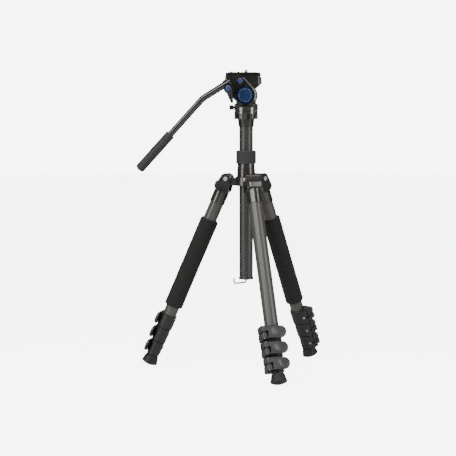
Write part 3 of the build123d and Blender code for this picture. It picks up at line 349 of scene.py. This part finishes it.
def paint(name, dark, light, roughness):
    """Smooth sprayed paint with a slight orange peel under a clear coat."""
    s = Shader(name)
    peel = s.noise(2.5 * MM, 2.0)
    broad = s.noise(45 * MM, 3.0)
    colour = s.mix(s.ramp(broad, 0.3, 0.7, 0.0, 1.0), dark, light)
    normal = s.bump(peel, 0.02 * MM, 0.4)
    rough = s.ramp(broad, 0.3, 0.7, roughness - 0.04, roughness + 0.05)
    return s.set(Base_Color=colour, Roughness=rough, Normal=normal, Coat_Weight=1.0, Coat_Roughness=0.12)


def blue_disc(name, place, bright, dark, edge):
    """A blue anodised cap: bright in the middle, darker outside edge, with lathe rings."""
    s = Shader(name)
    radius, _ = s.from_axis(place)
    outside = s.ramp(radius, edge - 0.2 * MM, edge + 0.2 * MM, 0.0, 1.0)
    rings = s.node("ShaderNodeTexNoise", noise_dimensions="1D")
    rings.inputs["Scale"].default_value = 1.0 / (0.3 * MM)
    s.link(radius, rings.inputs["W"])
    colour = s.mix(outside, bright, dark)
    shade = s.ramp(rings.outputs["Fac"], 0.3, 0.7, 0.85, 1.1)
    scaled = s.node("ShaderNodeVectorMath", operation="SCALE")
    s.link(colour, scaled.inputs[0])
    s.link(shade, scaled.inputs["Scale"])
    normal = s.bump(rings.outputs["Fac"], 0.015 * MM, 0.5)
    return s.set(Base_Color=scaled.outputs[0], Roughness=0.33, Normal=normal, Metallic=0.8)


BLACK = anodised(
    "black_anodised", (0.070, 0.067, 0.062), (0.115, 0.110, 0.103), 0.23, wear=(0.21, 0.205, 0.195),
)
HUB_BLACK = anodised(
    "hub_black", (0.078, 0.073, 0.071), (0.122, 0.114, 0.111), 0.27, wear=(0.20, 0.195, 0.185),
)
TAB = anodised("tab_metal", (0.20, 0.20, 0.196), (0.33, 0.327, 0.32), 0.36, wear=(0.52, 0.52, 0.50))
CLAMP = plastic(
    "clamp_plastic", (0.009, 0.0088, 0.0082), (0.017, 0.0165, 0.0155),
    0.5 * MM, 0.46, wear=(0.045, 0.044, 0.042),
)
LEVER = plastic(
    "lever_plastic", (0.040, 0.040, 0.039), (0.066, 0.066, 0.0645), 0.45 * MM, 0.34, wear=(0.11, 0.11, 0.108),
)
KNOB = plastic(
    "knob_plastic", (0.010, 0.010, 0.011), (0.022, 0.022, 0.023), 0.4 * MM, 0.4, wear=(0.06, 0.06, 0.06),
)
FOOT_RUBBER = rubber("foot_rubber", (0.006, 0.0066, 0.006), (0.012, 0.0128, 0.0118), 0.58)
RING_RUBBER = rubber("ring_rubber", (0.020, 0.021, 0.021), (0.034, 0.035, 0.035), 0.66, 0.5 * MM)
GRIP_RUBBER = rubber("bar_grip_rubber", (0.014, 0.014, 0.014), (0.028, 0.028, 0.028), 0.62, 0.6 * MM)
PAD_RUBBER = rubber("pad_rubber", (0.012, 0.012, 0.012), (0.024, 0.024, 0.024), 0.75, 0.5 * MM)
FOAM = foam_material()
BAR_PAINT = paint("gloss_black", (0.008, 0.008, 0.0075), (0.014, 0.014, 0.013), 0.25)
PLATFORM = anodised(
    "platform_black", (0.032, 0.031, 0.030), (0.060, 0.058, 0.056), 0.28, wear=(0.30, 0.30, 0.285),
)
HOUSING = turned("pan_housing_metal", HEAD_FRAME, (0.150, 0.155, 0.130), (0.215, 0.222, 0.190), 0.19)
BASE_METAL = turned("pan_base_metal", HEAD_FRAME, (0.130, 0.134, 0.114), (0.190, 0.195, 0.170), 0.19)
FLANGE_METAL = turned("column_plate_metal", HEAD_FRAME, (0.062, 0.060, 0.056), (0.098, 0.095, 0.089), 0.2)
STEEL = turned("steel", COLUMN_FRAME, (0.38, 0.37, 0.355), (0.54, 0.53, 0.51), 0.26, 1.0)
BOLT = anodised("bolt_steel", (0.60, 0.59, 0.57), (0.76, 0.75, 0.73), 0.4, 0.95)
WIRE = turned("wire_steel", COLUMN_FRAME, (0.16, 0.155, 0.15), (0.25, 0.245, 0.235), 0.34, 1.0)
# Painted highlights: light colours for the cheeks' front bevel and the receiver's front corner facets, where
# the dark chamfers catch the light.
BEVEL_PAINTED_HIGHLIGHT = anodised("bevel_painted_highlight", (0.30, 0.31, 0.27), (0.42, 0.43, 0.38), 0.3, 0.9)
FACET_PAINTED_HIGHLIGHT = anodised("facet_painted_highlight", (0.12, 0.12, 0.115), (0.18, 0.18, 0.172), 0.32, 0.9)
PLATE = anodised("plate_black", (0.019, 0.017, 0.015), (0.041, 0.037, 0.033), 0.33, wear=(0.22, 0.22, 0.21))
CAP_BLUE = blue_disc("blue_cap", TILT_FRAME, (0.030, 0.066, 0.190), (0.008, 0.016, 0.048), 15.4 * MM)
LIGHT_BLUE = anodised("light_blue", (0.065, 0.095, 0.235), (0.100, 0.135, 0.300), 0.3, 0.7)
MARK_WHITE = plastic("mark_white", (0.50, 0.52, 0.55), (0.62, 0.64, 0.66), 0.4 * MM, 0.5)
# Painted shade: the column's carbon is a darker copy of the legs' carbon, for the shade on the column
# standing in the middle between the legs.
CARBON_COLUMN_SHADED = carbon(
    "carbon_column_painted_shade", COLUMN_FRAME, TUBE_RADIUS, (0.016, 0.0165, 0.0145), (0.052, 0.052, 0.046),
)
CARBON_LEGS = {
    leg: carbon(f"carbon_{leg}", LEG_FRAMES[leg], TUBE_RADIUS, (0.036, 0.034, 0.030), (0.110, 0.104, 0.093))
    for leg in LEGS
}

LOOKS = {
    "hub": HUB_BLACK,
    "hinge_bolts": BOLT,
    "lock_ring": RING_RUBBER,
    "column_tube": CARBON_COLUMN_SHADED,
    "column_plate": FLANGE_METAL,
    "column_plug": BLACK,
    "bag_hook": WIRE,
    "pan_base": BASE_METAL,
    "pan_housing": HOUSING,
    "pan_knob": KNOB,
    "tilt_axle": STEEL,
    "tilt_platform": PLATFORM,
    "near_cap": CAP_BLUE,
    "far_cap": CAP_BLUE,
    "camera_plate": PLATE,
    "plate_pads": PAD_RUBBER,
    "camera_screw": STEEL,
    "release_button": LIGHT_BLUE,
    "tilt_knob": KNOB,
    "clamp_knob": KNOB,
    "bar_bracket": PLATFORM,
    "bar_lever": KNOB,
    "pan_bar": BAR_PAINT,
    "bar_grip": GRIP_RUBBER,
}
for leg in LEGS:
    LOOKS[f"{leg}_shoulder"] = BLACK
    LOOKS[f"{leg}_stop_tab"] = TAB
    LOOKS[f"{leg}_tube_1"] = CARBON_LEGS[leg]
    LOOKS[f"{leg}_tube_4"] = CARBON_LEGS[leg]
    LOOKS[f"{leg}_clamp_1"] = CLAMP
    LOOKS[f"{leg}_foot"] = FOOT_RUBBER
    for number in LEVERS:
        LOOKS[f"{leg}_lever_{number}"] = LEVER


def paint_node(name, material):
    """Gives a CAD node one material."""
    mesh = NODES[name].data
    mesh.materials.clear()
    mesh.materials.append(material)


def paint_section(leg, number, reach):
    """Gives a leg section its carbon tube, which is every face within reach of the axis, and its clamp."""
    mesh = NODES[f"{leg}_section_{number}"].data
    mesh.materials.clear()
    mesh.materials.append(CARBON_LEGS[leg])
    mesh.materials.append(CLAMP)
    inverse = LEG_FRAMES[leg].inverted()
    for face in mesh.polygons:
        spot = inverse @ face.center
        face.material_index = 0 if math.hypot(spot.x, spot.y) < reach else 1


CHEEK_EDGE = (21.2 * MM, 24.0 * MM)
CORNER_REACH = 21.6 * MM
BEVEL_SLOPE = (0.6, 0.8)
BEVEL_FLOOR = 10 * MM


def paint_platform():
    """Paints highlights on the platform: a light colour on the machined bevel at the front of its cheeks, and
    a paler one on its front corners, only where the faces turn towards the lens side.
    """
    mesh = NODES["tilt_platform"].data
    for material in (BEVEL_PAINTED_HIGHLIGHT, FACET_PAINTED_HIGHLIGHT):
        mesh.materials.append(material)
    for face in mesh.polygons:
        out = abs(face.center.y - TILT.y)
        sloped = BEVEL_SLOPE[0] < abs(face.normal.y) < BEVEL_SLOPE[1]
        lit = face.normal.x > 0.2 and face.center.z > TILT.z - BEVEL_FLOOR
        # Painted highlight: the lit mask picks the sloped faces turned to the lens side, and these get the
        # light colours.
        if lit and sloped and CHEEK_EDGE[0] < out < CHEEK_EDGE[1]:
            face.material_index = 1
        elif sloped and out < CORNER_REACH and face.normal.x > 0.6:
            face.material_index = 2


TUBE_REACH = {2: 12.55 * MM, 3: 11.05 * MM}

for node_name, look in LOOKS.items():
    paint_node(node_name, look)
paint_platform()
for leg in LEGS:
    for number, reach in TUBE_REACH.items():
        paint_section(leg, number, reach)


# ---------------------------------------------------------------- piece building


def piece_from(name, mesh_builder, place, material, body, smooth=True):
    """Makes a mesh piece in its own frame, puts it in place, and lets it ride on a body."""
    mesh = bpy.data.meshes.new(name)
    work = bmesh.new()
    mesh_builder(work)
    bmesh.ops.recalc_face_normals(work, faces=work.faces)
    work.transform(place)
    work.to_mesh(mesh)
    work.free()
    if smooth:
        mesh.polygons.foreach_set("use_smooth", [True] * len(mesh.polygons))
    mesh.materials.append(material)
    piece = bpy.data.objects.new(name, mesh)
    bpy.context.scene.collection.objects.link(piece)
    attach(piece, body)
    return piece


def revolve(work, profile, segments, wobble=None):
    """Revolves a closed or open profile of (radius, height) points about the z axis."""
    rings = []
    for radius, height in profile:
        if radius < 1e-7:
            rings.append([work.verts.new((0, 0, height))])
            continue
        ring = []
        for number in range(segments):
            angle = 2 * math.pi * number / segments
            reach = radius + (wobble(angle, height, radius) if wobble else 0.0)
            ring.append(work.verts.new((reach * math.cos(angle), reach * math.sin(angle), height)))
        rings.append(ring)
    for low, high in zip(rings, rings[1:]):
        for number in range(segments):
            after = (number + 1) % segments
            below = [low[number % len(low)], low[after % len(low)]]
            above = [high[after % len(high)], high[number % len(high)]]
            unique = list(dict.fromkeys(below + above))
            if len(unique) > 2:
                work.faces.new(unique)
    return rings


def sharpen(piece, degrees):
    """Keeps edges sharper than this crisp while the rest is smooth."""
    piece.data.set_sharp_from_angle(angle=math.radians(degrees))


def stations(mesh_name, leg):
    """The lowest and highest place of a node along its leg."""
    inverse = LEG_FRAMES[leg].inverted()
    heights = [(inverse @ vertex.co).z for vertex in NODES[mesh_name].data.vertices]
    return min(heights), max(heights)


def radius_of(mesh_name, leg):
    """A node's greatest distance from its leg's axis."""
    inverse = LEG_FRAMES[leg].inverted()
    return max((inverse @ vertex.co).xy.length for vertex in NODES[mesh_name].data.vertices)


# ---------------------------------------------------------------- foam grips


FOAM_SEEDS = {"rear": 3.1, "left": 8.7}


def foam_grip(leg):
    """A foam sleeve: soft rounded ends that pinch in at the tube, and a slightly uneven, worn surface."""
    node = f"{leg}_foam_grip"
    low, high = stations(node, leg)
    outer = radius_of(node, leg) - 0.15 * MM
    inner = 14.05 * MM
    round_end = 5 * MM
    squash = 0.8
    pinch = 0.3 * MM
    steps = 10
    rows = 90

    def end(turn):
        """The radius of a rounded end at a turn from its face, and the way in from that face."""
        return outer - round_end + round_end * math.sin(turn), round_end * (1 - math.cos(turn)) * squash

    profile = [(inner, low + pinch)]
    for number in range(steps + 1):
        radius, inward = end(math.pi / 2 * number / steps)
        profile.append((radius, low + inward))
    for number in range(1, rows):
        profile.append((outer, low + round_end + (high - low - 2 * round_end) * number / rows))
    for number in range(steps + 1):
        radius, inward = end(math.pi / 2 * (1 - number / steps))
        profile.append((radius, high - inward))
    profile.append((inner, high - pinch))
    seed = FOAM_SEEDS[leg]

    def wobble(angle, height, radius):
        """Broad and fine unevenness and a slight waist, on the outside only."""
        if radius < outer - 4 * MM:
            return 0.0
        spot = Vector((math.cos(angle) * 1.2 + seed, math.sin(angle) * 1.2, height / (22 * MM)))
        small = Vector((math.cos(angle) * 5 + seed, math.sin(angle) * 5, height / (5 * MM)))
        middle_height = (low + high) / 2
        waist = 0.35 * MM * (1 - ((height - middle_height) / ((high - low) / 2)) ** 2)
        return 0.25 * MM * noise.noise(spot) + 0.07 * MM * noise.noise(small) - waist

    piece = piece_from(
        f"{leg}_foam_sleeve", lambda work: revolve(work, profile + [profile[0]], 96, wobble), LEG_FRAMES[leg],
        FOAM, f"{leg}_upper",
    )
    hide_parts(node)


for leg in FOAM_LEGS:
    foam_grip(leg)


# ---------------------------------------------------------------- small steel fittings


def rounded(radius, height, edge, steps=4):
    """The profile of a low disc with a rounded top edge, standing on z = 0."""
    points = [(0.0, 0.0), (radius, 0.0)]
    for number in range(steps + 1):
        turn = math.pi / 2 * number / steps
        points.append((radius - edge * (1 - math.cos(turn)), height - edge * (1 - math.sin(turn))))
    points.append((0.0, height))
    return points


def disc(name, place, radius, height, edge, material, body, slot):
    """A low round button head."""
    profile = rounded(radius, height, edge)
    piece = piece_from(name, lambda work: revolve(work, profile, 32), place, material, body)
    sharpen(piece, 50)


def socket_head(name, place, radius, height, key, material, body, slot):
    """A screw's round head with a hexagon socket sunk in it."""
    sides = 6
    around = 36
    sector = 2 * math.pi / sides
    flat = key * math.cos(sector / 2)

    def build(work):
        edge = height * 0.3
        rings = revolve(work, [(radius, 0.0), (radius, height - edge), (radius - edge, height)], around)
        hole = []
        floor = []
        for number in range(around):
            angle = 2 * math.pi * number / around
            reach = flat / math.cos((angle % sector) - sector / 2)
            spot = (reach * math.cos(angle), reach * math.sin(angle))
            hole.append(work.verts.new((*spot, height)))
            floor.append(work.verts.new((*spot, height * 0.35)))
        for number in range(around):
            after = (number + 1) % around
            work.faces.new((rings[-1][number], rings[-1][after], hole[after], hole[number]))
            work.faces.new((hole[number], hole[after], floor[after], floor[number]))
        work.faces.new(floor)
        work.faces.new(list(reversed(rings[0])))

    piece = piece_from(name, build, place, material, body)
    sharpen(piece, 35)


PIN_HEAD = (2.5 * MM, 0.9 * MM, 0.5 * MM)
BOLT_HEAD = (2.9 * MM, 1.6 * MM, 1.4 * MM)
PIN_GAP = 0.1 * MM
BOLT_GAP = 0.05 * MM
EAR_HALF = 4 * MM


def clamp_fittings(leg, number):
    """The riveted ends of a lever's pin, and the draw bolt's head on the rear ear."""
    joint = JOINTS[f"{leg}_lever_{number}_flip"]
    body = joint["parent"]
    frame_matrix = LEG_FRAMES[leg]
    pin = frame_matrix.inverted() @ joint_point(joint["name"])
    low, high = stations(f"{leg}_lever_{number}", leg)
    for end, height, turn in (("top", high + PIN_GAP, 0.0), ("low", low - PIN_GAP, math.pi)):
        spot = Matrix.Translation((pin.x, pin.y, height))
        place = frame_matrix @ spot @ Matrix.Rotation(turn, 4, "X")
        disc(f"{leg}_pin_{number}_{end}", place, *PIN_HEAD, STEEL, body, "steel")
    clamp = f"{leg}_clamp_1" if number == 1 else f"{leg}_section_{number}"
    inverse = frame_matrix.inverted()
    ear = [inverse @ vertex.co for vertex in NODES[clamp].data.vertices]
    rear = min(spot.x for spot in ear if abs(spot.y - pin.y) < EAR_HALF and low < spot.z < high)
    spot = Matrix.Translation((rear + BOLT_GAP, pin.y, (low + high) / 2))
    place = frame_matrix @ spot @ Matrix.Rotation(-math.pi / 2, 4, "Y")
    socket_head(f"{leg}_bolt_{number}", place, *BOLT_HEAD, STEEL, body, "steel")


for leg in LEGS:
    for number in LEVERS:
        clamp_fittings(leg, number)


def bar_lever_cap():
    """The blue cap on the pan bar's locking lever."""
    low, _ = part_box("bar_lever")
    place = basis(Vector((BAR_PIVOT.x, low.y - 0.05 * MM, BAR_PIVOT.z)), NEAR_SIDE, LENS_SIDE)
    outline = (
        (0.0, -0.4), (5.2, -0.4), (5.2, 0.5), (4.9, 0.8), (4.3, 0.9), (4.1, 0.65), (3.8, 0.65), (3.6, 0.95),
        (0.0, 1.15),
    )
    profile = [(radius * MM, height * MM) for radius, height in outline]
    name = "bar_lever_cap"
    piece = piece_from(name, lambda work: revolve(work, profile, 48), place, LIGHT_BLUE, "bar_lever")
    sharpen(piece, 40)


bar_lever_cap()


def camera_screw():
    """The camera screw with its real thread: 20 turns to the inch, cut as a helix."""
    low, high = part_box("camera_screw")
    axis = middle("camera_screw")
    pitch = 1.27 * MM
    around = 36
    radius = 3.175 * MM
    neck = 2.8 * MM
    depth = 0.55 * MM
    run_out = 0.8 * MM
    taper = 0.35 * MM
    steepness = 2.6
    head_radius = (high.x - low.x) / 2
    head_top = low.z + 3.0 * MM
    thread_low = head_top + 1.0 * MM
    rows = int((high.z - thread_low) / (pitch / 10))

    def build(work):
        head = [(0.0, low.z), (head_radius, low.z), (head_radius, head_top)]
        rings = revolve(work, head + [(neck, head_top), (neck, thread_low)], around)
        last = rings[-1]
        for row in range(1, rows + 1):
            height = thread_low + (high.z - thread_low) * row / rows
            fade = min(1.0, (high.z - height) / run_out, (height - thread_low) / run_out)
            ring = []
            for number in range(around):
                angle = 2 * math.pi * number / around
                phase = ((height / pitch) - number / around) % 1.0
                groove = min(1.0, abs(phase - 0.5) * steepness)
                reach = radius - depth * (1 - groove) - taper * (1 - fade)
                ring.append(work.verts.new((reach * math.cos(angle), reach * math.sin(angle), height)))
            for number in range(around):
                after = (number + 1) % around
                work.faces.new((last[number], last[after], ring[after], ring[number]))
            last = ring
        work.faces.new(last)

    place = Matrix.Translation((axis.x, axis.y, 0.0))
    piece = piece_from("threaded_camera_screw", build, place, STEEL, "camera_screw")
    sharpen(piece, 45)
    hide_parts("camera_screw")


camera_screw()


def dial_marks():
    """A plain ring of engraved and white-filled marks on the near cap, as a tilt scale."""
    low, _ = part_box("near_cap")
    count = 24
    outside = 13.4 * MM
    thickness = 0.35 * MM
    height = 0.16 * MM

    def build(work):
        for number in range(count):
            angle = 2 * math.pi * number / count
            length = 2.4 * MM if number % 6 == 0 else 1.3 * MM
            turn = Matrix.Rotation(angle, 4, "Z")
            spot = Matrix.Translation((outside - length / 2, 0, 0))
            size = Matrix.Diagonal((length, thickness, height, 1.0))
            bmesh.ops.create_cube(work, size=1.0, matrix=turn @ spot @ size)

    place = basis(Vector((TILT.x, low.y, TILT.z)), NEAR_SIDE, LENS_SIDE)
    piece_from("tilt_scale", build, place, MARK_WHITE, "platform", smooth=False)


dial_marks()


# ---------------------------------------------------------------- camera, lights and floor


def look_from(position, target):
    """A rotation that looks from one point to another, upright."""
    return (target - position).to_track_quat("-Z", "Y").to_euler()


VIEW_AZIMUTH = math.radians(4.2)
VIEW_ELEVATION = math.radians(4.1)
VIEW_DISTANCE = 2.9306
VIEW_HEIGHT = 0.2916
VIEW_LENS = 112.34
VIEW_SHIFT = -0.0397
FLOOR_REACH = 12.0
FLOOR_WHITE = 6.0
SURROUND_WHITE = 7.0
SURROUND_FILL = 0.14
AIM_HEIGHT = 0.32


def make_camera():
    """The camera, a little above the object's middle and a little to the lens side."""
    data = bpy.data.cameras.new("camera")
    data.lens = VIEW_LENS
    data.sensor_width = 36.0
    data.shift_x = VIEW_SHIFT
    data.clip_end = 30.0
    camera = bpy.data.objects.new("camera", data)
    bpy.context.scene.collection.objects.link(camera)
    target = Vector((COLUMN.x, COLUMN.y, VIEW_HEIGHT))
    flat = math.cos(VIEW_ELEVATION) * VIEW_DISTANCE
    rise = math.sin(VIEW_ELEVATION) * VIEW_DISTANCE
    camera.location = target + Vector((math.sin(VIEW_AZIMUTH) * flat, -math.cos(VIEW_AZIMUTH) * flat, rise))
    camera.rotation_euler = look_from(camera.location, target)
    bpy.context.scene.camera = camera


def area_light(name, position, target, size, power):
    """A soft rectangular white light."""
    data = bpy.data.lights.new(name, "AREA")
    data.shape = "RECTANGLE"
    data.size, data.size_y = size
    data.energy = power
    light = bpy.data.objects.new(name, data)
    light.location = position
    light.rotation_euler = look_from(Vector(position), Vector(target))
    bpy.context.scene.collection.objects.link(light)


def shown_white(tree, surface, strength):
    """Adds white light to a surface that only the camera sees, so that it stays pale but lights nothing."""
    glow = tree.nodes.new("ShaderNodeEmission")
    path = tree.nodes.new("ShaderNodeLightPath")
    both = tree.nodes.new("ShaderNodeAddShader")
    seen = tree.nodes.new("ShaderNodeMath")
    seen.operation = "MULTIPLY"
    seen.inputs[1].default_value = strength
    tree.links.new(path.outputs["Is Camera Ray"], seen.inputs[0])
    tree.links.new(seen.outputs[0], glow.inputs["Strength"])
    tree.links.new(surface, both.inputs[0])
    tree.links.new(glow.outputs[0], both.inputs[1])
    return both.outputs[0]


def make_floor():
    """A wide, flat, pale floor that ends in the white surround."""
    mesh = bpy.data.meshes.new("studio_floor")
    work = bmesh.new()
    revolve(work, [(0.0, 0.0), (1.6, 0.0), (4.0, 0.0), (FLOOR_REACH, 0.0)], 96)
    bmesh.ops.recalc_face_normals(work, faces=work.faces)
    work.to_mesh(mesh)
    work.free()
    s = Shader("studio_floor")
    tone = s.noise(0.6, 2.0)
    pale = s.mix(tone, (0.80, 0.80, 0.80), (0.84, 0.84, 0.84))
    s.set(Base_Color=pale, Roughness=0.95, Specular_IOR_Level=0.1)
    output = s.tree.nodes["Material Output"]
    s.link(shown_white(s.tree, s.bsdf.outputs[0], FLOOR_WHITE), output.inputs["Surface"])
    mesh.materials.append(s.material)
    floor = bpy.data.objects.new("studio_floor", mesh)
    bpy.context.scene.collection.objects.link(floor)


def make_world():
    """A white surround for the camera, and a dim even fill for everything else."""
    world = bpy.data.worlds.new("studio")
    world.use_nodes = True
    tree = world.node_tree
    fill = tree.nodes["Background"]
    fill.inputs["Color"].default_value = (1.0, 1.0, 1.0, 1.0)
    path = tree.nodes.new("ShaderNodeLightPath")
    pick = tree.nodes.new("ShaderNodeMapRange")
    pick.inputs["To Min"].default_value = SURROUND_FILL
    pick.inputs["To Max"].default_value = SURROUND_WHITE
    tree.links.new(path.outputs["Is Camera Ray"], pick.inputs["Value"])
    tree.links.new(pick.outputs["Result"], fill.inputs["Strength"])
    bpy.context.scene.world = world


def beside_view(turn, distance, height):
    """A place round the column, turned from the camera's direction; positive is to the right of the view."""
    angle = VIEW_AZIMUTH + math.radians(turn)
    return Vector((COLUMN.x + distance * math.sin(angle), COLUMN.y - distance * math.cos(angle), height))


make_camera()
make_floor()
make_world()
centre = (COLUMN.x, COLUMN.y, AIM_HEIGHT)
area_light("left_strip", beside_view(-52, 1.8, 0.9), centre, (0.6, 1.6), 17)
area_light("right_strip", beside_view(61, 1.8, 0.9), centre, (0.6, 1.6), 17)
area_light("front_soft", beside_view(-22, 1.35, 1.65), centre, (1.0, 0.9), 20)
area_light("top_soft", (COLUMN.x, COLUMN.y, 2.3), centre, (1.6, 1.6), 14)
area_light("back_soft", beside_view(170, 2.0, 1.5), centre, (1.6, 0.8), 4)
